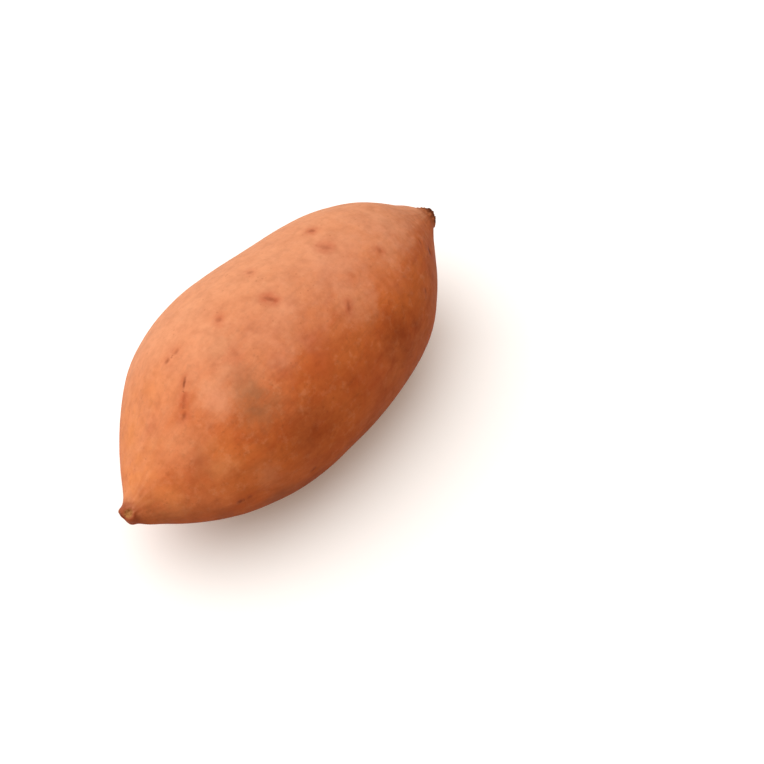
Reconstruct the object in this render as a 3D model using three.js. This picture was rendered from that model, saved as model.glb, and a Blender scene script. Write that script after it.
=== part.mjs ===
// A whole, uncut sweet potato, lying on its side on a small flat spot.
// It grew as one storage root, so it is one solid: a plump spindle with a broken-off
// stub of the thin root at one end and the scar of the vine at the other.
// Units are millimetres, +Z is up, and +X runs from the root end to the vine end.
// The origin lies on the resting plane, under the middle of the root's box.

import * as THREE from "three";

// Driving dimensions
const LENGTH = 160; // from the face of the root stub to the face of the vine scar
const HEIGHT_SHARE = 0.92; // height of a cross-section over its width
const REST_DEPTH = 1.2; // how deep the underside is flattened where it rests

// The two ends
const STUB_RADIUS = 3.2; // broken root stub
const STUB_DISH = 0.5; // how far the face of the stub is hollowed
const SCAR_RADIUS = 3.5; // collar round the vine scar
const SCAR_DISH = 0.7; // how far the scar is sunk in its collar
const END_ROUNDING = 0.8; // rounding of both rims

// The body's radius, as [distance from the face of the root stub, radius]
const BODY = [
  [3.2, 4],
  [6.3, 7],
  [15.2, 16.3],
  [27.2, 25.8],
  [42.2, 34.2],
  [60.2, 38.7],
  [79.2, 39.3],
  [99.2, 37],
  [120.2, 32.6],
  [135.2, 24.9],
  [145.2, 16.7],
  [152.7, 9.3],
  [157.6, 5],
];

// How the body's middle wanders off the straight line between its ends,
// as [distance from the face of the root stub, sideways, upwards]
const MIDDLE = [
  [0, 0, 0],
  [6.7, -1.1, -0.55],
  [19.2, -0.1, -0.5],
  [41.2, 2.7, 0.05],
  [69.2, 3.2, -0.4],
  [97.2, 1.8, -0.9],
  [125.2, 1.6, -0.35],
  [145.2, 2.6, 0.75],
  [160, 1.3, 0.6],
];

// Broad, shallow lobes that run along the root, as [lobes, share of the radius, phase, twist]
// Twist is the turn of the lobe from one end to the other, and both angles are in radians.
const LOBES = [
  [2, 0.012, 0.6, 0.7],
  [3, 0.017, 1.9, -0.8],
  [5, 0.006, 0.4, 1.3],
];
const LOBE_FREE = 0.1; // share of the length at each end over which the lobes die away

// Fineness
const SEGMENTS = 64; // round the body
const BODY_RINGS = 50; // along the body

// The outline of half a root that is turned about +Y, from the root stub to the vine scar.
// Lathe points are (radius, distance), and both ends start on the axis.
function outline() {
  const stub = [
    new THREE.Vector2(0, STUB_DISH),
    new THREE.Vector2(0.5 * STUB_RADIUS, 0.8 * STUB_DISH),
    new THREE.Vector2(STUB_RADIUS - END_ROUNDING, 0),
    new THREE.Vector2(STUB_RADIUS, END_ROUNDING),
  ];
  const spline = new THREE.SplineCurve(
    BODY.map(([distance, radius]) => new THREE.Vector2(radius, distance)),
  );
  const scar = [
    new THREE.Vector2(SCAR_RADIUS, LENGTH - END_ROUNDING),
    new THREE.Vector2(SCAR_RADIUS - END_ROUNDING, LENGTH),
    new THREE.Vector2(0.5 * SCAR_RADIUS, LENGTH - 0.8 * SCAR_DISH),
    new THREE.Vector2(0, LENGTH - SCAR_DISH),
  ];
  return [...stub, ...spline.getSpacedPoints(BODY_RINGS), ...scar];
}

// How much wider than round the root is at a place on it
function lobeFactor(along, angle) {
  const toEnd = Math.min(along, 1 - along);
  const fade = THREE.MathUtils.smoothstep(toEnd, 0, LOBE_FREE);
  const swell = LOBES.reduce(
    (sum, [count, share, phase, twist]) =>
      sum + share * Math.cos(count * angle + phase + twist * along),
    0,
  );
  return 1 + swell * fade;
}

// Turns the plain spindle into the grown root: lobed, wider than high, and bent.
function grow(geometry) {
  const middle = new THREE.CubicInterpolant(
    MIDDLE.map(([distance]) => distance),
    MIDDLE.flatMap(([, sideways, upwards]) => [sideways, upwards]),
    2,
  );
  const position = geometry.getAttribute("position");
  for (let i = 0; i < position.count; i += 1) {
    const distance = position.getY(i);
    const across = position.getZ(i);
    const up = position.getX(i);
    const factor = lobeFactor(distance / LENGTH, Math.atan2(up, across));
    const [sideways, upwards] = middle.evaluate(distance);
    position.setXYZ(
      i,
      distance,
      sideways + across * factor,
      upwards + up * factor * HEIGHT_SHARE,
    );
  }
}

// Presses a flat spot into the underside and puts the origin on it.
function settle(geometry) {
  geometry.computeBoundingBox();
  const floor = geometry.boundingBox.min.z + REST_DEPTH;
  const position = geometry.getAttribute("position");
  for (let i = 0; i < position.count; i += 1) {
    position.setZ(i, Math.max(position.getZ(i), floor));
  }
  geometry.computeBoundingBox();
  const middle = geometry.boundingBox.getCenter(new THREE.Vector3());
  geometry.translate(-middle.x, -middle.y, -floor);
}

function makeRoot() {
  const geometry = new THREE.LatheGeometry(outline(), SEGMENTS);
  grow(geometry);
  settle(geometry);
  geometry.computeVertexNormals();
  const skin = new THREE.MeshStandardMaterial({
    color: 0xc87447,
    roughness: 0.6,
    metalness: 0,
  });
  const root = new THREE.Mesh(geometry, skin);
  root.name = "sweet_potato";
  return root;
}

const part = new THREE.Group();
part.add(makeRoot());

export default part;
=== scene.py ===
# %% [markdown]
# # A sweet potato
#
# This scene makes one whole, raw sweet potato that lies on a pale table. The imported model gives
# its true size and shape as a plain solid. Blender adds what makes it look grown: a finer skin
# with dents, rootlet scars and wrinkles, a corky scar where the vine was, a broken stub where
# the thin root went on, and a mottled copper colour.
#
# The steps are: load the solid, set up the camera, floor and light, make the skin, sculpt it,
# mark it, and colour it. Everything is in metres, and `MM` turns millimetres into metres.

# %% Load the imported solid
import math
import random

import bmesh
import bpy
from mathutils import Matrix, Vector, noise
from mathutils.bvhtree import BVHTree


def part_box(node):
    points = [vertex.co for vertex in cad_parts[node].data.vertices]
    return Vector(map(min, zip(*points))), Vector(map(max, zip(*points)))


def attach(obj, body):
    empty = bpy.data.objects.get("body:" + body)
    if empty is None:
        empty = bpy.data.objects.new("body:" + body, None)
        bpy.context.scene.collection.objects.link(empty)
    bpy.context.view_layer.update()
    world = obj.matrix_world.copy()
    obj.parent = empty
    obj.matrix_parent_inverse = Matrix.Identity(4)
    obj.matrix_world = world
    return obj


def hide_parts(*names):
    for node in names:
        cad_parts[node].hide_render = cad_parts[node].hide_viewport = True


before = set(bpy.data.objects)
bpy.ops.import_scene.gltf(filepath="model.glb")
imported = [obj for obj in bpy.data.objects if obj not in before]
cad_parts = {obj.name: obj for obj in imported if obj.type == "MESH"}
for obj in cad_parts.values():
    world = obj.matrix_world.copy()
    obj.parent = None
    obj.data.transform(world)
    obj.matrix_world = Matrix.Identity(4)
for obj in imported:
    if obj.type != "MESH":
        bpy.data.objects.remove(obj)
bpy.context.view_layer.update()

MM = 0.001

LOW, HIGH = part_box("sweet_potato")
MIDDLE = (LOW + HIGH) / 2
LENGTH = HIGH.x - LOW.x
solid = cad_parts["sweet_potato"]
print("the solid in mm:", [round(side / MM, 1) for side in HIGH - LOW])

# %% [markdown]
# ## The camera
#
# The camera looks down on the root from in front of its root end. The photograph was measured
# for two things: the direction the root points in, and the pixel where its middle is. A camera
# that is simply aimed at a thing puts it in the middle of the picture, so this one is slid
# sideways and up, along its own axes, until the root's middle falls on that pixel. Sliding
# keeps the view's direction, and needs no lens shift.

# %% Camera
PICTURE = 764  # the picture's width and height in pixels
VIEW_TURN = math.radians(-51.4)  # how far the camera has gone round the root
VIEW_RISE = math.radians(55)  # how high the camera is above the horizon
VIEW_DISTANCE = 612 * MM
LENS_MM = 85
SENSOR_MM = 36
ROOT_PIXEL = (278.4, 353.3)  # where the middle of the root's box shows

BACK = Vector(
    (
        math.sin(VIEW_TURN) * math.cos(VIEW_RISE),
        -math.cos(VIEW_TURN) * math.cos(VIEW_RISE),
        math.sin(VIEW_RISE),
    )
)
RIGHT = Vector((0, 0, 1)).cross(BACK).normalized()
UP = BACK.cross(RIGHT)
PIXELS_PER_UNIT_SLOPE = PICTURE * LENS_MM / SENSOR_MM


def pixel_slopes(x, y):
    """How far right and up a pixel is seen, for each metre ahead of the camera."""
    half = PICTURE / 2
    return (x - half) / PIXELS_PER_UNIT_SLOPE, (half - y) / PIXELS_PER_UNIT_SLOPE


slide_right, slide_up = pixel_slopes(*ROOT_PIXEL)
EYE = MIDDLE + VIEW_DISTANCE * (BACK - slide_right * RIGHT - slide_up * UP)

camera_data = bpy.data.cameras.new("camera")
camera_data.lens = LENS_MM
camera_data.sensor_width = SENSOR_MM
camera_data.clip_start = 0.01
camera = bpy.data.objects.new("camera", camera_data)
camera.matrix_world = Matrix.Translation(EYE) @ Matrix((RIGHT, UP, BACK)).transposed().to_4x4()
bpy.context.scene.collection.objects.link(camera)
bpy.context.scene.camera = camera
print("camera at, in mm:", [round(c / MM) for c in EYE])

# %% [markdown]
# ## The studio
#
# The photograph is a white product picture: a white surface that runs into a white background,
# with one large soft light above and to the left of the picture, and light bounced back from
# all round. The light's direction is given along the camera's own axes, because that is how it
# is read off a picture: the bright side of the root says where it is.
#
# An area light near the root would leave the far floor grey. A sun lights the whole floor alike,
# and a wide angle makes its shadows as soft as a large lamp's. The world fills the shadows, and
# the floor glows a little, like the light tables that product pictures are taken on. Rays that
# come straight from the camera see the world as plain white, so the background is white too.
# The view transform is Standard, which leaves white as it is.

# %% Floor and light
FLOOR_SIZE = 20.0
FLOOR_WHITE = 0.78
FLOOR_GLOW = 0.23
GLOW_COLOUR = (1.0, 0.8, 0.65, 1)
KEY_STRENGTH = 3.8
KEY_ANGLE = math.radians(80)
KEY_TOWARDS = (-0.37, 0.58, 0.8)  # to the right, up and back, on the camera's axes
FILL_STRENGTH = 0.2
FILL_COLOUR = (1.0, 0.86, 0.68, 1)


def light_table():
    """White acrylic that is lit a little from below, which keeps shadows pale."""
    material = bpy.data.materials.new("light_table")
    material.use_nodes = True
    shader = material.node_tree.nodes["Principled BSDF"]
    shader.inputs["Base Color"].default_value = (FLOOR_WHITE, FLOOR_WHITE, FLOOR_WHITE, 1)
    shader.inputs["Roughness"].default_value = 0.9
    shader.inputs["Specular IOR Level"].default_value = 0.1
    shader.inputs["Emission Color"].default_value = GLOW_COLOUR
    shader.inputs["Emission Strength"].default_value = FLOOR_GLOW
    return material


def object_from(bm, name):
    """Turns a bmesh into an object in the scene."""
    mesh = bpy.data.meshes.new(name)
    bm.to_mesh(mesh)
    bm.free()
    made = bpy.data.objects.new(name, mesh)
    bpy.context.scene.collection.objects.link(made)
    return made


floor_bm = bmesh.new()
bmesh.ops.create_grid(floor_bm, x_segments=1, y_segments=1, size=FLOOR_SIZE / 2)
floor = object_from(floor_bm, "floor")
floor.data.materials.append(light_table())

world = bpy.data.worlds.new("studio")
world.use_nodes = True
tree = world.node_tree
fill = tree.nodes["Background"]
fill.inputs["Color"].default_value = FILL_COLOUR
fill.inputs["Strength"].default_value = FILL_STRENGTH
backdrop = tree.nodes.new("ShaderNodeBackground")
backdrop.inputs["Color"].default_value = (1, 1, 1, 1)
path = tree.nodes.new("ShaderNodeLightPath")
either = tree.nodes.new("ShaderNodeMixShader")
tree.links.new(path.outputs["Is Camera Ray"], either.inputs["Fac"])
tree.links.new(fill.outputs["Background"], either.inputs[1])
tree.links.new(backdrop.outputs["Background"], either.inputs[2])
tree.links.new(either.outputs["Shader"], tree.nodes["World Output"].inputs["Surface"])
bpy.context.scene.world = world
bpy.context.scene.view_settings.view_transform = "Standard"

key_data = bpy.data.lights.new("key", "SUN")
key_data.energy = KEY_STRENGTH
key_data.angle = KEY_ANGLE
key = bpy.data.objects.new("key", key_data)
to_key = (KEY_TOWARDS[0] * RIGHT + KEY_TOWARDS[1] * UP + KEY_TOWARDS[2] * BACK).normalized()
key.rotation_euler = to_key.to_track_quat("Z", "Y").to_euler()
bpy.context.scene.collection.objects.link(key)
print("key light towards:", [round(c, 2) for c in to_key])

# %% [markdown]
# ## The skin's cage
#
# The root is a spindle: nearly round across, and drawn out to a point at both ends. A shape like
# that is quickest as a spin. A few vertices along the outline are turned once round the long
# axis, which gives clean rings and lengthwise rows of four-sided faces. The rings sit closer
# together near the ends, where the outline turns quickly and the details are small. Each end
# closes with a shallow dish, because the real root was broken off there.
#
# The spin alone would be too regular. So each vertex on the side is then moved straight out from
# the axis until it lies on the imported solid, which carries the root's true bends and lobes. That
# keeps the finished skin on the shape that the physics uses.

# %% Cage
TURNS = 80  # faces round the cage
SIDE_RINGS = 68
END_CROWDING = 0.6  # 0 is evenly spaced rings, and 1 is the most crowded at the ends
CAP = 0.8 * MM  # the side starts this far from the face of each tip
CAP_RINGS = ((0.0, 0.55), (0.38, 0.5), (0.72, 0.06))  # share of the tip's radius, depth in mm


def tip_middle(x):
    """The middle of the solid's small face at one end."""
    near = [vert.co for vert in solid.data.vertices if abs(vert.co.x - x) < 0.2 * MM]
    return sum(near, Vector()) / len(near)


ROOT_TIP = tip_middle(LOW.x)
VINE_TIP = tip_middle(HIGH.x)
AXIS = (VINE_TIP - ROOT_TIP).normalized()
TIP_RADIUS = 3.2 * MM


def axis_at(x):
    """The point at x on the straight line from tip to tip."""
    return ROOT_TIP.lerp(VINE_TIP, (x - LOW.x) / LENGTH)


def outline():
    """Points along the root, as (x, distance from the axis, whether it is on the side)."""
    points = [(LOW.x + depth * MM, share * TIP_RADIUS, False) for share, depth in CAP_RINGS]
    for ring in range(SIDE_RINGS):
        even = ring / (SIDE_RINGS - 1)
        crowded = (1 - math.cos(math.pi * even)) / 2
        share = even + END_CROWDING * (crowded - even)
        points.append((LOW.x + CAP + share * (LENGTH - 2 * CAP), TIP_RADIUS, True))
    points += [(HIGH.x - depth * MM, share * TIP_RADIUS, False) for share, depth in CAP_RINGS[::-1]]
    return points


def spun_cage():
    """The outline turned once round the line from tip to tip."""
    bm = bmesh.new()
    on_side = bm.verts.layers.int.new("on_side")
    previous = None
    for x, radius, is_side in outline():
        vert = bm.verts.new(axis_at(x) + Vector((0, 0, radius)))
        vert[on_side] = int(is_side)
        if previous:
            bm.edges.new((previous, vert))
        previous = vert
    bmesh.ops.spin(
        bm,
        geom=bm.verts[:] + bm.edges[:],
        cent=ROOT_TIP,
        axis=AXIS,
        angle=2 * math.pi,
        steps=TURNS,
        use_merge=True,
        use_duplicate=False,
    )
    bmesh.ops.remove_doubles(bm, verts=bm.verts[:], dist=0.01 * MM)
    bmesh.ops.recalc_face_normals(bm, faces=bm.faces[:])
    return bm


def lay_on_solid(bm):
    """Moves the cage's sides out onto the solid, and evens out what its flat facets leave."""
    surface = BVHTree.FromObject(solid, bpy.context.evaluated_depsgraph_get())
    on_side = bm.verts.layers.int["on_side"]
    sides = [vert for vert in bm.verts if vert[on_side]]
    for vert in sides:
        middle = axis_at(vert.co.x)
        outwards = (vert.co - middle).normalized()
        vert.co = surface.ray_cast(middle, outwards)[0]
    tips = 12 * MM
    body = [vert for vert in sides if LOW.x + tips < vert.co.x < HIGH.x - tips]
    for _ in range(3):
        bmesh.ops.smooth_vert(
            bm, verts=body, factor=0.5, use_axis_x=True, use_axis_y=True, use_axis_z=True
        )


cage = spun_cage()
lay_on_solid(cage)
print("cage:", len(cage.verts), "vertices,", len(cage.faces), "faces")

# %% [markdown]
# ## From cage to skin
#
# Subdivision Surface rounds the cage and gives it enough vertices to sculpt. Sculpting moves
# single vertices, so the modifier is applied: the finer mesh that it makes takes its place. Two
# levels give about 185,000 triangles, with a vertex every 0.8 mm or so, which is as fine as a
# scar's edge needs.

# %% Subdivided skin
skin = object_from(cage, "sweet_potato_skin")
rounding = skin.modifiers.new("rounding", "SUBSURF")
rounding.levels = 2
rounding.render_levels = 2
fine = bpy.data.meshes.new_from_object(
    skin.evaluated_get(bpy.context.evaluated_depsgraph_get())
)
skin.modifiers.clear()
skin.data = fine
skin.data.name = "sweet_potato_skin"
print("skin:", len(fine.vertices), "vertices,", len(fine.polygons), "faces")

# %% [markdown]
# ## Finding places on the skin
#
# Some marks are seen in the photograph, and they belong where they are seen. A ray from the
# camera through a pixel meets the skin at that mark's place, so a mark is noted as a pixel, and
# its length and direction as a real length and the angle it has in the picture. A mark on the
# far side is placed the same way, with a ray from the axis.

# %% Places
smooth_skin = BVHTree.FromObject(skin, bpy.context.evaluated_depsgraph_get())


def seen_at(x, y):
    """Where the skin is seen at a pixel, and its normal there."""
    slope_right, slope_up = pixel_slopes(x, y)
    ray = (slope_right * RIGHT + slope_up * UP - BACK).normalized()
    place, normal = smooth_skin.ray_cast(EYE, ray)[:2]
    return place, normal


def out_from_axis(share, turn):
    """Where the skin is, at a share of the root's length and an angle round it, and its normal."""
    middle = axis_at(LOW.x + share * LENGTH)
    outwards = Vector((0, math.cos(turn), math.sin(turn)))
    place, normal = smooth_skin.ray_cast(middle, outwards)[:2]
    return place, normal


class Mark:
    """A small scar: a slit in a shallow dimple, with its own long direction."""

    def __init__(self, place, normal, along, length, width, depth, redness, darkness):
        self.place = place
        self.normal = normal
        self.along = (along - along.dot(normal) * normal).normalized()
        self.across = normal.cross(self.along)
        self.half_length = length * MM / 2
        self.half_width = width * MM / 2
        self.depth = depth * MM
        self.redness = redness
        self.darkness = darkness

    def local(self, point):
        """How far a point is along and across the slit, in half lengths and half widths."""
        offset = point - self.place
        return offset.dot(self.along) / self.half_length, offset.dot(self.across) / self.half_width


# %% [markdown]
# ## The marks
#
# Thin side roots once grew out of the root in lengthwise rows. Each left a short slit across a
# shallow dimple. The photograph shows a few of them, and they are listed with their pixel, the
# angle of the slit in the picture, its length, width and depth in mm, how red the skin round it
# is, and how dark the slit is. Most are healed over, and no more than a soft brown smudge. The
# far side gets rows of its own, drawn at random from a fixed seed.

# %% Marks
SEEN_MARKS = (
    # x, y, angle, length, width, depth, redness, darkness
    (184, 383, 86, 4.0, 1.0, 0.2, 0.4, 0.7),
    (184, 401, 88, 7.0, 1.3, 0.05, 0.6, 0.2),
    (184, 416, 80, 3.0, 1.6, 0.1, 0.6, 0.4),
    (176, 352, 62, 2.6, 1.5, 0.08, 0.3, 0.35),
    (167, 361, 50, 2.2, 1.6, 0.08, 0.3, 0.4),
    (270, 299, -16, 5.0, 1.8, 0.08, 0.8, 0.38),
    (312, 231, -8, 2.6, 2.0, 0.1, 0.7, 0.42),
    (325, 247, -14, 5.0, 2.4, 0.04, 0.5, 0.25),
    (349, 306, 86, 4.6, 1.4, 0.06, 0.6, 0.32),
    (219, 320, 0, 2.2, 2.0, 0.04, 0.5, 0.3),
    (250, 272, 30, 2.4, 2.0, 0.04, 0.3, 0.3),
    (235, 354, 10, 3.4, 2.4, 0.04, 0.3, 0.2),
    (240, 501, 20, 2.6, 2.4, 0.1, 0.2, 0.7),
    (250, 497, 30, 2.4, 2.0, 0.1, 0.2, 0.4),
    (431, 251, 100, 3.2, 2.4, 0.2, 0.2, 0.8),
    (421, 242, 95, 2.6, 1.4, 0.05, 0.3, 0.4),
    (306, 338, 60, 3.0, 2.4, 0.03, 0.4, 0.14),
    (380, 250, 80, 2.4, 1.8, 0.05, 0.5, 0.25),
    (426, 291, 95, 2.4, 1.6, 0.1, 0.3, 0.5),
    (201, 462, 70, 2.6, 2.2, 0.03, 0.3, 0.1),
    (314, 470, 30, 3.0, 1.6, 0.12, 0.0, 0.5),
)
SIDE_ROOT_ROWS = 6
ROW_STEP = (0.1, 0.2)  # least and most distance between scars in a row, as shares of the length
chance = random.Random(7)


def seen_marks():
    """The scars that the photograph shows."""
    for x, y, angle, *nature in SEEN_MARKS:
        place, normal = seen_at(x, y)
        turn = math.radians(angle)
        along = math.cos(turn) * RIGHT + math.sin(turn) * UP
        yield Mark(place, normal, along, *nature)


def hidden_marks():
    """Rows of scars on the side that the camera doesn't see."""
    for row in range(SIDE_ROOT_ROWS):
        share = chance.uniform(*ROW_STEP)
        while share < 0.92:
            turn = 2 * math.pi * (row + chance.uniform(-0.12, 0.12)) / SIDE_ROOT_ROWS
            place, normal = out_from_axis(share, turn)
            slant = chance.uniform(-0.5, 0.5)
            along = normal.cross(AXIS) + slant * AXIS
            length = chance.uniform(1.8, 4.6)
            width = chance.uniform(0.9, 2.0)
            depth = chance.uniform(0.05, 0.25)
            redness = chance.uniform(0.2, 0.9)
            darkness = chance.uniform(0.3, 0.8)
            if normal.dot(BACK) < 0.1:
                yield Mark(place, normal, along, length, width, depth, redness, darkness)
            share += chance.uniform(*ROW_STEP)


marks = [*seen_marks(), *hidden_marks()]
print("scars:", len(marks))

# %% [markdown]
# ## Swells
#
# The spindle is a little too tidy next to the photograph. Where the outline of the real root is
# fuller or flatter than the solid, there is a soft swell or hollow. Those on the outline are
# placed by their share of the length, on the upper or the lower side as the camera sees it. The
# largest ones shape the ends: the broken stub has a heel, and the collar of the vine scar is low
# on one side, with a snag of the vine left standing in its middle. A low knob fills out the
# lower side near the root end.

# %% Swells
UPPER, LOWER = 1, -1
OUTLINE_SWELLS = (
    # share of the length, side, reach in mm, height in mm
    (0.965, UPPER, 4.5, 0.85),
    (0.995, UPPER, 2.2, -1.3),
    (0.25, LOWER, 6.0, -0.4),
    (0.03, LOWER, 4.5, 0.7),
)
# place, reach in mm, height in mm
HEEL = (seen_at(132, 518)[0], 1.8, 0.7)
STUB_NOTCH = (seen_at(124, 518)[0], 1.5, -1.2)
SNAG = (VINE_TIP, 2.3, 2.3)
KNOB = (seen_at(234, 500)[0], 4.0, 0.6)


def on_outline(share, side):
    """The skin's place on the outline that the camera sees."""
    middle = axis_at(LOW.x + share * LENGTH)
    outwards = side * BACK.cross(AXIS).normalized()
    return smooth_skin.ray_cast(middle, outwards)[0]


swells = [HEEL, STUB_NOTCH, SNAG, KNOB]
for share, side, reach, height in OUTLINE_SWELLS:
    swells.append((on_outline(share, side), reach, height))
print("swells:", len(swells))

# %% [markdown]
# ## Sculpting
#
# A real skin is never quite even. Broad lumps come from the flesh growing faster in one place
# than in another, fine lengthwise veins from the strands inside, and wrinkles from the skin
# drying where it narrows. Each of these is a noise of its own size, measured along the root and
# round it, and all are added up as one height in mm. The vertex then moves by that height along
# its normal. This could be a displacement texture too, but moving the vertices keeps the shape
# in the mesh, where an exported model needs it.

# %% Sculpt
# Sizes, lengths and heights are in mm.
LUMP_SIZE, LUMP_HEIGHT = 30, 0.45
HOLLOW_SIZE, HOLLOW_HEIGHT = 12, 0.14
VEIN_LENGTH, VEIN_SIZE, VEIN_HEIGHT = 50, 5, 0.09
GROWN_RADIUS = 35 * MM  # the root's radius before it tapered
GRAIN_SIZE, GRAIN_HEIGHT = 2.6, 0.035
WRINKLE_SIZE, WRINKLE_HEIGHT = 1.3, 0.22
MARK_REACH = 5.0  # a scar changes nothing farther from its middle than this
BROKEN_FACE = seen_at(128.5, 513.5)[0]  # where the thin root broke off
BROKEN_RADIUS = 1.5
BROKEN_HOLLOW, BROKEN_RIM, FIBRE_HEIGHT = 0.4, 0.3, 0.25
WRINKLE_REACH, COLLAR_REACH = 9, 6.0  # how far from a tip each starts
COLLAR_HEIGHT = 0.45


def fade(value, start, end):
    """0 up to start, 1 from end, and smooth between them. It runs down if end is below start."""
    share = min(max((value - start) / (end - start), 0), 1)
    return share * share * (3 - 2 * share)


def grown_place(place):
    """A place as it was before the root tapered: its distance along, and its way round."""
    outwards = place - axis_at(place.x)
    outwards.x = 0
    outwards = outwards.normalized() * GROWN_RADIUS
    return Vector((place.x, outwards.y, outwards.z))


def lengthwise(point, length, size):
    """Noise that is drawn out along the root. The point is in mm."""
    return noise.noise(Vector((point.x / length, point.y / size, point.z / size)))


def skin_height(point):
    """The height of the plain skin over the smooth shape, in mm. The point is in mm too."""
    lumps = LUMP_HEIGHT * noise.noise(point / LUMP_SIZE)
    hollows = HOLLOW_HEIGHT * noise.noise(point / HOLLOW_SIZE + Vector((3, 1, 7)))
    veins = VEIN_HEIGHT * lengthwise(grown_place(point * MM) / MM, VEIN_LENGTH, VEIN_SIZE)
    grain = GRAIN_HEIGHT * noise.noise(point / GRAIN_SIZE)
    return lumps + hollows + veins + grain


def broken_height(point):
    """The hollow face of the broken root, with a raised rim, in mm."""
    distance = (point - BROKEN_FACE / MM).length
    hollow = BROKEN_HOLLOW * fade(distance, BROKEN_RADIUS, 0.4 * BROKEN_RADIUS)
    rim = BROKEN_RIM * math.exp(-(((distance - 1.15 * BROKEN_RADIUS) / 0.7) ** 2))
    fibres = FIBRE_HEIGHT * noise.noise(point / 0.8)
    return rim - hollow + fibres * fade(distance, 2 * BROKEN_RADIUS, BROKEN_RADIUS)


def end_height(point, to_root, to_vine):
    """Wrinkles where the skin narrows at the ends, and the ragged collar of the vine scar."""
    wrinkles = WRINKLE_HEIGHT * lengthwise(point, 9, WRINKLE_SIZE)
    near_end = max(fade(to_root, WRINKLE_REACH, 3), fade(to_vine, WRINKLE_REACH, 3))
    ragged = 0.55 * noise.noise(point / 1.1) + 0.35 * noise.noise(point / 0.5)
    collar = COLLAR_HEIGHT * fade(to_vine, COLLAR_REACH, 4.8)
    return wrinkles * near_end + collar + ragged * fade(to_vine, COLLAR_REACH, 4.4)


def swell_height(point):
    """The swells and hollows that fit the outline, in mm."""
    total = 0
    for centre, reach, height in swells:
        total += height * math.exp(-(((point - centre / MM).length / reach) ** 2))
    return total


def mark_height(mark, point):
    """A dimple with a slit across it and low lips on both sides, in mm."""
    along, across = mark.local(point)
    depth = mark.depth / MM
    slit = math.exp(-(along**4) - across**2)
    dimple = math.exp(-((along / 1.8) ** 2) - (across / 3.5) ** 2)
    lips = math.exp(-(along**2) - (abs(across) - 2.2) ** 2)
    return depth * (0.35 * lips - slit - 0.9 * dimple)


def sculpt(mesh):
    """Moves every vertex by its height, and lets none sink into the table."""
    heights = []
    for vert in mesh.vertices:
        point = vert.co / MM
        to_root = (vert.co - ROOT_TIP).length / MM
        to_vine = (vert.co - VINE_TIP).length / MM
        body = min(fade(to_root, 2, 12), fade(to_vine, 2, 12))
        height = skin_height(point) * body + end_height(point, to_root, to_vine)
        height += broken_height(point) + swell_height(point)
        for mark in marks:
            if (vert.co - mark.place).length < MARK_REACH * MM:
                height += mark_height(mark, vert.co)
        heights.append(height)
    moved = [vert.co + height * MM * vert.normal for vert, height in zip(mesh.vertices, heights)]
    for vert, place in zip(mesh.vertices, moved):
        vert.co = Vector((place.x, place.y, max(place.z, 0)))
    mesh.update()
    return heights


heights = sculpt(skin.data)
for polygon in skin.data.polygons:
    polygon.use_smooth = True
print("sculpted from", round(min(heights), 2), "to", round(max(heights), 2), "mm")

# %% [markdown]
# ## Notes for the paint
#
# The slits are narrower than the faces of the mesh, so colouring them by vertex would blur them.
# Instead every vertex near a scar notes where it lies in that scar's own measure: how many half
# lengths along, how many half widths across, and how dark the scar is. Numbers like these
# change evenly between two vertices, so the material can work out a sharp edge from them. A
# second note holds how red the skin is round a scar.
#
# Three more notes say how each vertex faces the light: towards it, where a painted highlight makes
# the top pale, away from it, where painted shade gives the side a deeper colour, and downwards,
# where painted shade darkens the underside. They come from the way each vertex faces. The last note
# is for streaks. They run from end to end and close up where the root tapers, so it holds the place
# that a vertex would have if the root were as thick everywhere.

# %% Notes
FAR_FROM_MARKS = (9.0, 9.0, 0.0)
# The first side faces the light and gets a painted highlight; the second faces away from it and the
# third faces down, and both of these get painted shade.
LIT_SIDE = Vector((0.2, 0.7, 0.65)).normalized()
SHADED_SIDE = Vector((0.2, -0.62, -0.74)).normalized()
UNDER_SIDE = Vector((-0.15, -0.45, -0.84)).normalized()


def note_marks(mesh):
    """Writes each vertex's place in its nearest scar, and the blush round it."""
    mesh.attributes.new("scar", "FLOAT_VECTOR", "POINT")
    mesh.attributes.new("blush", "FLOAT", "POINT")
    places = mesh.attributes["scar"]
    blushes = mesh.attributes["blush"]
    for index, vert in enumerate(mesh.vertices):
        nearest = min(marks, key=lambda mark: (vert.co - mark.place).length_squared)
        distance = (vert.co - nearest.place).length / MM
        if distance > MARK_REACH:
            places.data[index].vector = FAR_FROM_MARKS
            continue
        along, across = nearest.local(vert.co)
        strength = fade(distance, MARK_REACH, 0.6 * MARK_REACH)
        places.data[index].vector = (along, across, nearest.darkness * strength)
        spread = math.exp(-((along / 1.7) ** 2) - (across / 3) ** 2)
        blushes.data[index].value = nearest.redness * strength * spread


def note_side(mesh, name, side):
    """Writes how far each vertex faces one side."""
    mesh.attributes.new(name, "FLOAT", "POINT")
    facing = mesh.attributes[name]
    for index, vert in enumerate(mesh.vertices):
        facing.data[index].value = vert.normal.dot(side)


def note_growth(mesh):
    """Writes each vertex's place as it was before the root tapered."""
    mesh.attributes.new("grown", "FLOAT_VECTOR", "POINT")
    grown = mesh.attributes["grown"]
    for index, vert in enumerate(mesh.vertices):
        grown.data[index].vector = grown_place(vert.co)


note_marks(skin.data)
note_side(skin.data, "lit_side", LIT_SIDE)
note_side(skin.data, "shaded_side", SHADED_SIDE)
note_side(skin.data, "under_side", UNDER_SIDE)
note_growth(skin.data)
print("notes on the skin:", [note.name for note in skin.data.attributes])

# %% [markdown]
# ## A short way to write materials
#
# A material is a graph of nodes. Written out, the maths in it is hard to read, so a small class
# wraps a socket and gives it Python's own operators: `0.5 * mask` adds a Math node and wires it.
# Colours go through Mix nodes instead, because a Math node would turn them grey. Every other
# node comes from one method, which takes the node's type, its settings and its inputs.

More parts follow.
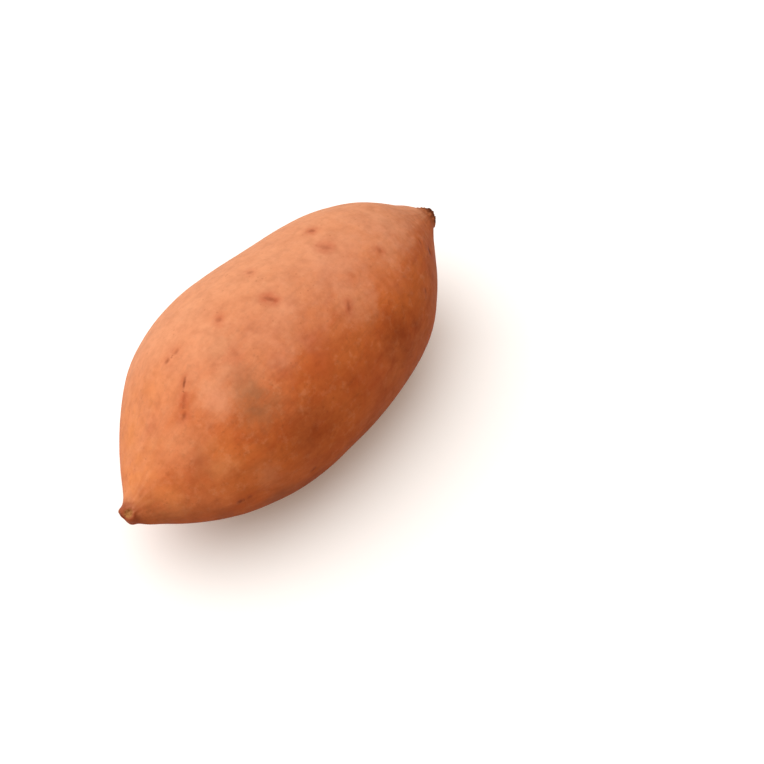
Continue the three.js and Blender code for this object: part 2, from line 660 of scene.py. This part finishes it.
# %% Wires and recipes
class Wire:
    """A value or colour on its way through a material."""

    def __init__(self, recipe, socket):
        self.recipe = recipe
        self.socket = socket

    def maths(self, operation, first, second):
        """One Math node with two inputs."""
        return self.recipe.node("ShaderNodeMath", {"operation": operation}, {0: first, 1: second})

    def __add__(self, other):
        return self.maths("ADD", self, other)

    def __sub__(self, other):
        return self.maths("SUBTRACT", self, other)

    def __mul__(self, other):
        return self.maths("MULTIPLY", self, other)

    def __truediv__(self, other):
        return self.maths("DIVIDE", self, other)

    def __pow__(self, other):
        return self.maths("POWER", self, other)

    __radd__ = __add__
    __rmul__ = __mul__


class Recipe:
    """A new material, and the few kinds of step that it is cooked from."""

    def __init__(self, name):
        self.material = bpy.data.materials.new(name)
        self.material.use_nodes = True
        self.tree = self.material.node_tree
        self.shader = self.tree.nodes["Principled BSDF"]

    def node(self, kind, settings=None, inputs=None, output=0):
        """Adds a node: its settings first, then the values or wires of its inputs."""
        made = self.tree.nodes.new(kind)
        for name, value in (settings or {}).items():
            setattr(made, name, value)
        for name, value in (inputs or {}).items():
            self.feed(made.inputs[name], value)
        return Wire(self, made.outputs[output])

    def feed(self, socket, value):
        """Sets a socket's value, or links a wire to it."""
        if isinstance(value, Wire):
            self.tree.links.new(value.socket, socket)
        else:
            socket.default_value = value

    def noise(self, place, size, detail=3.0, roughness=0.55, distortion=0.0):
        """Noise between 0 and 1 whose blotches are about size mm across."""
        values = {
            "Vector": place,
            "Scale": 1 / (size * MM),
            "Detail": detail,
            "Roughness": roughness,
            "Distortion": distortion,
        }
        return self.node("ShaderNodeTexNoise", {}, values)

    def step(self, value, start, end):
        """A soft step from 0 at start to 1 at end, or down if end is below start."""
        ranges = {"Value": value, "From Min": start, "From Max": end}
        return self.node("ShaderNodeMapRange", {"interpolation_type": "SMOOTHSTEP"}, ranges)

    def mix(self, first, second, share, blend="MIX"):
        """The first colour with a share of the second laid over it."""
        settings = {"data_type": "RGBA", "blend_type": blend}
        return self.node("ShaderNodeMix", settings, {0: share, 6: first, 7: second}, output=2)

    def part(self, vector, axis):
        """One of a vector's three numbers."""
        return self.node("ShaderNodeSeparateXYZ", {}, {0: vector}, output=axis)

    def distance(self, place, point):
        """How far each point of the surface is from one point, in mm."""
        settings = {"operation": "DISTANCE"}
        metres = self.node("ShaderNodeVectorMath", settings, {0: place, 1: point}, output="Value")
        return metres / MM


def colour(red, green, blue):
    """A colour given as it looks on a screen, from 0 to 255, as the linear light it stands for."""
    linear = []
    for value in (red, green, blue):
        share = value / 255
        linear.append(share / 12.92 if share <= 0.04045 else ((share + 0.055) / 1.055) ** 2.4)
    return (*linear, 1.0)


# %% [markdown]
# ## The tones
#
# The skin is thin cork over orange flesh, so its colour is never flat. Its tones are given as
# they look on a screen, and `colour` turns them into the linear light that a renderer works in.
#
# The broad patches of the photographed side are placed one by one, each with a reach and a
# strength. There are pale and pink ones where the cork is thick, ochre ones where it is thin,
# grey-tan ones where soil rubbed it, and russet ones. The rust ones are painted shade where the
# skin faces away from the light, and the dark ones are painted shade along the lower edge and
# darker skin at the vine scar and at a small spot. Each kind has one or more on the far side too,
# placed from the axis, where the rust and dark ones are the skin's own colour.

# %% Tones and patches
COPPER = colour(196, 102, 50)
ROSE = colour(202, 112, 66)
RUSSET = colour(178, 76, 36)
PALE = colour(218, 142, 98)
UMBER = colour(132, 70, 40)
GREY_TAN = colour(158, 104, 70)
OCHRE = colour(216, 132, 72)
PINK = colour(210, 134, 102)
# The rust tone is mostly painted shade.
RUST_AND_SHADE = colour(122, 42, 2)

# Each patch is a place on the skin, a reach in mm and a strength.
GREY_PATCHES = (
    (seen_at(243, 385)[0], 9, 0.7),
    (seen_at(258, 408)[0], 11, 0.8),
    (seen_at(222, 345)[0], 8, 0.3),
    (seen_at(190, 316)[0], 10, 0.3),
    (seen_at(282, 494)[0], 8, 0.6),
    (seen_at(170, 516)[0], 9, 0.5),
    (out_from_axis(0.35, math.radians(250))[0], 13, 0.6),
    (out_from_axis(0.7, math.radians(200))[0], 10, 0.5),
    (out_from_axis(0.6, math.radians(330))[0], 12, 0.5),
)
PALE_PATCHES = (
    (seen_at(212, 385)[0], 9, 0.7),
    (seen_at(217, 405)[0], 8, 0.7),
    (seen_at(268, 474)[0], 8, 0.5),
    (seen_at(300, 340)[0], 7, 0.4),
    (seen_at(355, 300)[0], 11, 0.7),
    (seen_at(385, 250)[0], 10, 0.5),
    (seen_at(184, 446)[0], 12, 0.55),
    (seen_at(222, 468)[0], 8, 0.35),
    (seen_at(310, 215)[0], 10, 0.4),
    (seen_at(390, 220)[0], 13, 0.6),
    (out_from_axis(0.4, math.radians(20))[0], 13, 0.6),
    (out_from_axis(0.65, math.radians(250))[0], 11, 0.4),
)
OCHRE_PATCHES = (
    (seen_at(127, 415)[0], 14, 0.35),
    (seen_at(150, 468)[0], 14, 0.35),
    (seen_at(172, 500)[0], 10, 0.4),
    (seen_at(130, 440)[0], 12, 0.5),
    (seen_at(129, 482)[0], 9, 0.6),
    (seen_at(222, 468)[0], 11, 0.4),
    (out_from_axis(0.2, math.radians(60))[0], 12, 0.3),
    (out_from_axis(0.5, math.radians(210))[0], 12, 0.3),
)
PINK_PATCHES = (
    (seen_at(335, 262)[0], 26, 0.6),
    (seen_at(215, 398)[0], 9, 0.5),
    (seen_at(284, 362)[0], 8, 0.5),
    (seen_at(385, 228)[0], 18, 0.6),
    (seen_at(325, 303)[0], 6, 0.3),
    (out_from_axis(0.45, math.radians(100))[0], 18, 0.4),
)
RED_PATCHES = (
    (seen_at(318, 368)[0], 12, 0.6),
    (seen_at(170, 478)[0], 10, 0.4),
    (seen_at(330, 245)[0], 8, 0.3),
    (out_from_axis(0.55, math.radians(160))[0], 15, 0.6),
    (out_from_axis(0.3, math.radians(300))[0], 12, 0.6),
    (out_from_axis(0.8, math.radians(20))[0], 10, 0.5),
)
RUST_AND_SHADE_PATCHES = (
    # painted shade on the side away from the light
    (seen_at(402, 335)[0], 15, 0.6),
    (seen_at(312, 432)[0], 16, 0.4),
    # rust-coloured skin on the far side
    (out_from_axis(0.75, math.radians(290))[0], 12, 0.6),
)
DARK_AND_SHADE_PATCHES = (
    # painted shade along the lower edge
    (seen_at(143, 520)[0], 6, 0.7),
    (seen_at(133, 521)[0], 3, 0.8),
    (seen_at(140, 500)[0], 8, 0.3),
    (seen_at(157, 517)[0], 8, 0.55),
    (seen_at(195, 516)[0], 8, 0.55),
    (seen_at(225, 513)[0], 7, 0.4),
    # darker skin at the vine scar, at a small spot near the bottom, and on the far side
    (seen_at(424, 217)[0], 5, 0.5),
    (seen_at(249, 500)[0], 4, 0.5),
    (out_from_axis(0.9, math.radians(220))[0], 8, 0.5),
    (out_from_axis(0.15, math.radians(130))[0], 8, 0.4),
)


# %% [markdown]
# ## The plain skin
#
# The layers go on from the broadest to the finest: a slow drift between copper and rose, russet
# blotches, streaks that run along the root, pale and dark mottling, then most of the patches.
# After them comes the painted light: a painted highlight that makes the top pale, painted shade
# that deepens the colour on the side away from the light, and painted shade that darkens the
# underside. The ochre patches lie over the painted highlight, and the rust ones, mostly painted
# shade, over the deeper colour. Small soft clouds and pinhead freckles are the last.
#
# The streaks read the note of the untapered place, shrunk along the root, which draws them out.
# The other patterns here read Object coordinates, which are the real place on the root in
# metres. So every blotch has its true size, and none stretches towards the tips.

# %% Plain skin
# Painted light: a pale tone for the lit top, a deeper tone for the shaded side, and a dark tone for
# the shaded underside.
PAINTED_HIGHLIGHT = colour(220, 156, 118)
PAINTED_SHADE = colour(146, 60, 4)
PAINTED_UNDERSIDE_SHADE = colour(80, 38, 22)
SHADE = (0.62, 0.55, 0.5, 1)
STREAK_DRAW = 0.16  # how far the streaks' pattern is shrunk along the root
CREASE_DRAW = 0.25


def patched(paint, place, tone, patches, patch_tone):
    """Broad, ragged patches of another tone."""
    for centre, reach, strength in patches:
        wander = paint.noise(place, 6, 4, 0.6) * 1.6 * reach
        near = paint.step(paint.distance(place, centre) + wander, 1.9 * reach, 0.5 * reach)
        tone = paint.mix(tone, patch_tone, strength * near)
    return tone


def along_growth(paint, share):
    """The place before the root tapered, shrunk along the root so that patterns are drawn out."""
    grown = paint.node("ShaderNodeAttribute", {"attribute_name": "grown"}, output="Vector")
    return paint.node("ShaderNodeMapping", {}, {"Vector": grown, "Scale": (share, 1, 1)})


def mottled(paint, place):
    """The plain skin's colour, before the painted light and shade go on."""
    drawn_out = along_growth(paint, STREAK_DRAW)
    drift = paint.step(paint.noise(place, 38, 2), 0.38, 0.62)
    blotches = paint.step(paint.noise(place, 11, 4, 0.6, 0.3), 0.46, 0.68)
    streaks = paint.step(paint.noise(drawn_out, 4.5, 4, 0.6), 0.5, 0.7)
    fine_streaks = paint.step(paint.noise(drawn_out, 1.8, 3, 0.6), 0.5, 0.72)
    pale_spots = paint.step(paint.noise(place, 3.4, 4, 0.65), 0.5, 0.72)
    dark_spots = paint.step(paint.noise(place, 2.1, 3, 0.6), 0.55, 0.75)
    tone = paint.mix(COPPER, ROSE, drift)
    tone = paint.mix(tone, RUSSET, 0.4 * blotches)
    body = paint.step(paint.distance(place, ROOT_TIP), 8, 40)
    tone = paint.mix(tone, RUSSET, 0.35 * streaks * body)
    tone = paint.mix(tone, UMBER, 0.16 * fine_streaks * body)
    tone = paint.mix(tone, PALE, 0.35 * pale_spots)
    tone = paint.mix(tone, UMBER, 0.3 * dark_spots)
    tone = patched(paint, place, tone, GREY_PATCHES, GREY_TAN)
    tone = patched(paint, place, tone, PALE_PATCHES, PALE)
    tone = patched(paint, place, tone, PINK_PATCHES, PINK)
    tone = patched(paint, place, tone, RED_PATCHES, RUSSET)
    # the dark patches are painted shade along the lower edge, and darker skin elsewhere
    return patched(paint, place, tone, DARK_AND_SHADE_PATCHES, UMBER)


def light_and_shade_painted(paint, place, tone):
    """A painted highlight on top, painted shade on the side away from the light and underneath, and
    patches over them.
    """
    wander = 0.5 * (paint.noise(place, 18, 4) - 0.5)
    lit_side, shaded_side, under_side = [
        paint.node("ShaderNodeAttribute", {"attribute_name": name}, output="Fac") + wander
        for name in ("lit_side", "shaded_side", "under_side")
    ]
    # painted highlight: paler where the skin faces the light
    tone = paint.mix(tone, PAINTED_HIGHLIGHT, 0.75 * paint.step(lit_side, 0.0, 1.05))
    tone = patched(paint, place, tone, OCHRE_PATCHES, OCHRE)
    # painted shade: a deeper colour where the skin faces away from the light
    tone = paint.mix(tone, PAINTED_SHADE, 0.62 * paint.step(shaded_side, -0.3, 0.8))
    # mostly painted shade: dark rust patches on the side away from the light
    tone = patched(paint, place, tone, RUST_AND_SHADE_PATCHES, RUST_AND_SHADE)
    # painted shade: darker where the skin faces down
    return paint.mix(tone, PAINTED_UNDERSIDE_SHADE, 0.5 * paint.step(under_side, 0.35, 1.0))


def clouded(paint, place, tone):
    """Small soft clouds, darker and lighter in turn, as in all thin cork."""
    broad = paint.step(paint.noise(place, 5.5, 4, 0.6), 0.35, 0.7)
    small = paint.step(paint.noise(place, 2.4, 3, 0.6), 0.35, 0.7)
    return paint.mix(tone, SHADE, 0.22 * broad + 0.2 * small, "MULTIPLY")


def freckled(paint, place, tone):
    """Pinhead freckles, one in each cell of a Voronoi pattern, but only here and there."""
    cells = {"Vector": place, "Scale": 1 / (2.4 * MM)}
    distance = paint.node("ShaderNodeTexVoronoi", {}, cells, output="Distance")
    freckles = paint.step(distance, 0.2, 0.08)
    chosen = paint.step(paint.noise(place, 6, 2), 0.5, 0.6)
    return paint.mix(tone, UMBER, 0.22 * freckles * chosen)


# %% [markdown]
# ## Scars and ends
#
# Over the plain skin come the blush and the dark slit of each scar, which read the scar notes.
# Both ends are coloured by the distance from their tips, roughened by noise. The vine scar is
# brown cork that turns near black towards its tip. The root stub has a red-brown rim round a
# pale, fibrous face, where it snapped.

# %% Scars and ends
BLUSH = colour(172, 72, 42)
SLIT = colour(104, 46, 24)
CORK_BROWN = colour(116, 60, 34)
CORK_BLACK = colour(84, 38, 20)
STUB_RIM = colour(134, 62, 36)
STUB_FACE = colour(160, 108, 62)
STUB_FIBRE = colour(132, 78, 40)


def scarred(paint, place, tone):
    """The blush and slit of every scar, and the mask of the slits."""
    blush = paint.node("ShaderNodeAttribute", {"attribute_name": "blush"}, output="Fac")
    tone = paint.mix(tone, BLUSH, blush * paint.noise(place, 2.5, 3) * 1.5)
    scar = paint.node("ShaderNodeAttribute", {"attribute_name": "scar"}, output="Vector")
    along, across, strength = [paint.part(scar, axis) for axis in "XYZ"]
    edge = paint.noise(place, 0.9, 3) * 0.9
    reach = (along * along + across * across) ** 0.5 + edge
    slit = paint.step(reach, 1.9, 0.5) * strength
    return paint.mix(tone, SLIT, slit), slit


def corked(paint, place, tone, ragged):
    """The cork of the vine scar, and its mask."""
    to_vine = paint.distance(place, VINE_TIP) + ragged
    cork = paint.step(to_vine, 7.0, 5.2)
    charred = paint.step(to_vine + paint.noise(place, 0.8, 3) * 2, 6.9, 5.1)
    tone = paint.mix(tone, UMBER, 0.7 * paint.step(to_vine, 10.5, 6.5))
    return paint.mix(tone, paint.mix(CORK_BROWN, CORK_BLACK, charred), cork), cork


def snapped(paint, place, tone, ragged):
    """The rim and the broken face of the root stub."""
    to_root = paint.distance(place, ROOT_TIP) + ragged
    tone = paint.mix(tone, STUB_RIM, 0.85 * paint.step(to_root, 9.0, 5.0))
    fibres = paint.noise(place, 0.8, 3)
    to_face = paint.distance(place, BROKEN_FACE) + fibres
    face = paint.step(to_face, BROKEN_RADIUS + 1.1, BROKEN_RADIUS - 0.3)
    broken = paint.mix(STUB_FACE, STUB_FIBRE, paint.step(fibres, 0.4, 0.65))
    return paint.mix(tone, broken, face)


# %% [markdown]
# ## The finished material
#
# The skin is matt, with a faint wax that comes and goes, and cork is rougher than skin. The
# finest relief, of pores, peeling cork and creases, is smaller than the faces of the mesh, so
# it is a bump. The slits are pressed into that bump too.

# %% Skin paint
BUMP_STRENGTH = 0.5
BUMP_HEIGHT = 0.16 * MM
GLOSS = 0.03


def skin_paint():
    """The whole skin, from the broad tones to the finest relief."""
    paint = Recipe("sweet_potato_skin")
    place = paint.node("ShaderNodeTexCoord", output="Object")
    tone = clouded(paint, place, light_and_shade_painted(paint, place, mottled(paint, place)))
    tone, slit = scarred(paint, place, freckled(paint, place, tone))
    ragged = paint.noise(place, 1.6, 4, 0.65) * 3
    tone, cork = corked(paint, place, tone, ragged)
    tone = snapped(paint, place, tone, ragged)
    paint.feed(paint.shader.inputs["Base Color"], tone)

    waxiness = paint.noise(place, 6, 4, 0.6)
    paint.feed(paint.shader.inputs["Roughness"], 0.48 + 0.25 * waxiness + 0.25 * cork)

    pores = paint.noise(place, 0.6, 3, 0.6)
    peel = paint.noise(place, 1.9, 4, 0.6)
    creases = paint.noise(along_growth(paint, CREASE_DRAW), 0.9, 4, 0.6)
    relief = pores * 0.35 + peel + creases * 0.4 + cork * paint.noise(place, 0.9, 4, 0.7) * 4
    bump = {"Strength": BUMP_STRENGTH, "Distance": BUMP_HEIGHT, "Height": relief - slit}
    paint.feed(paint.shader.inputs["Normal"], paint.node("ShaderNodeBump", {}, bump))
    paint.shader.inputs["Specular IOR Level"].default_value = GLOSS
    return paint.material


skin.data.materials.append(skin_paint())
print("skin paint:", len(skin.data.materials[0].node_tree.nodes), "nodes")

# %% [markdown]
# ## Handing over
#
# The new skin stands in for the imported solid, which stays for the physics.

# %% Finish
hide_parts("sweet_potato")
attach(skin, "root")
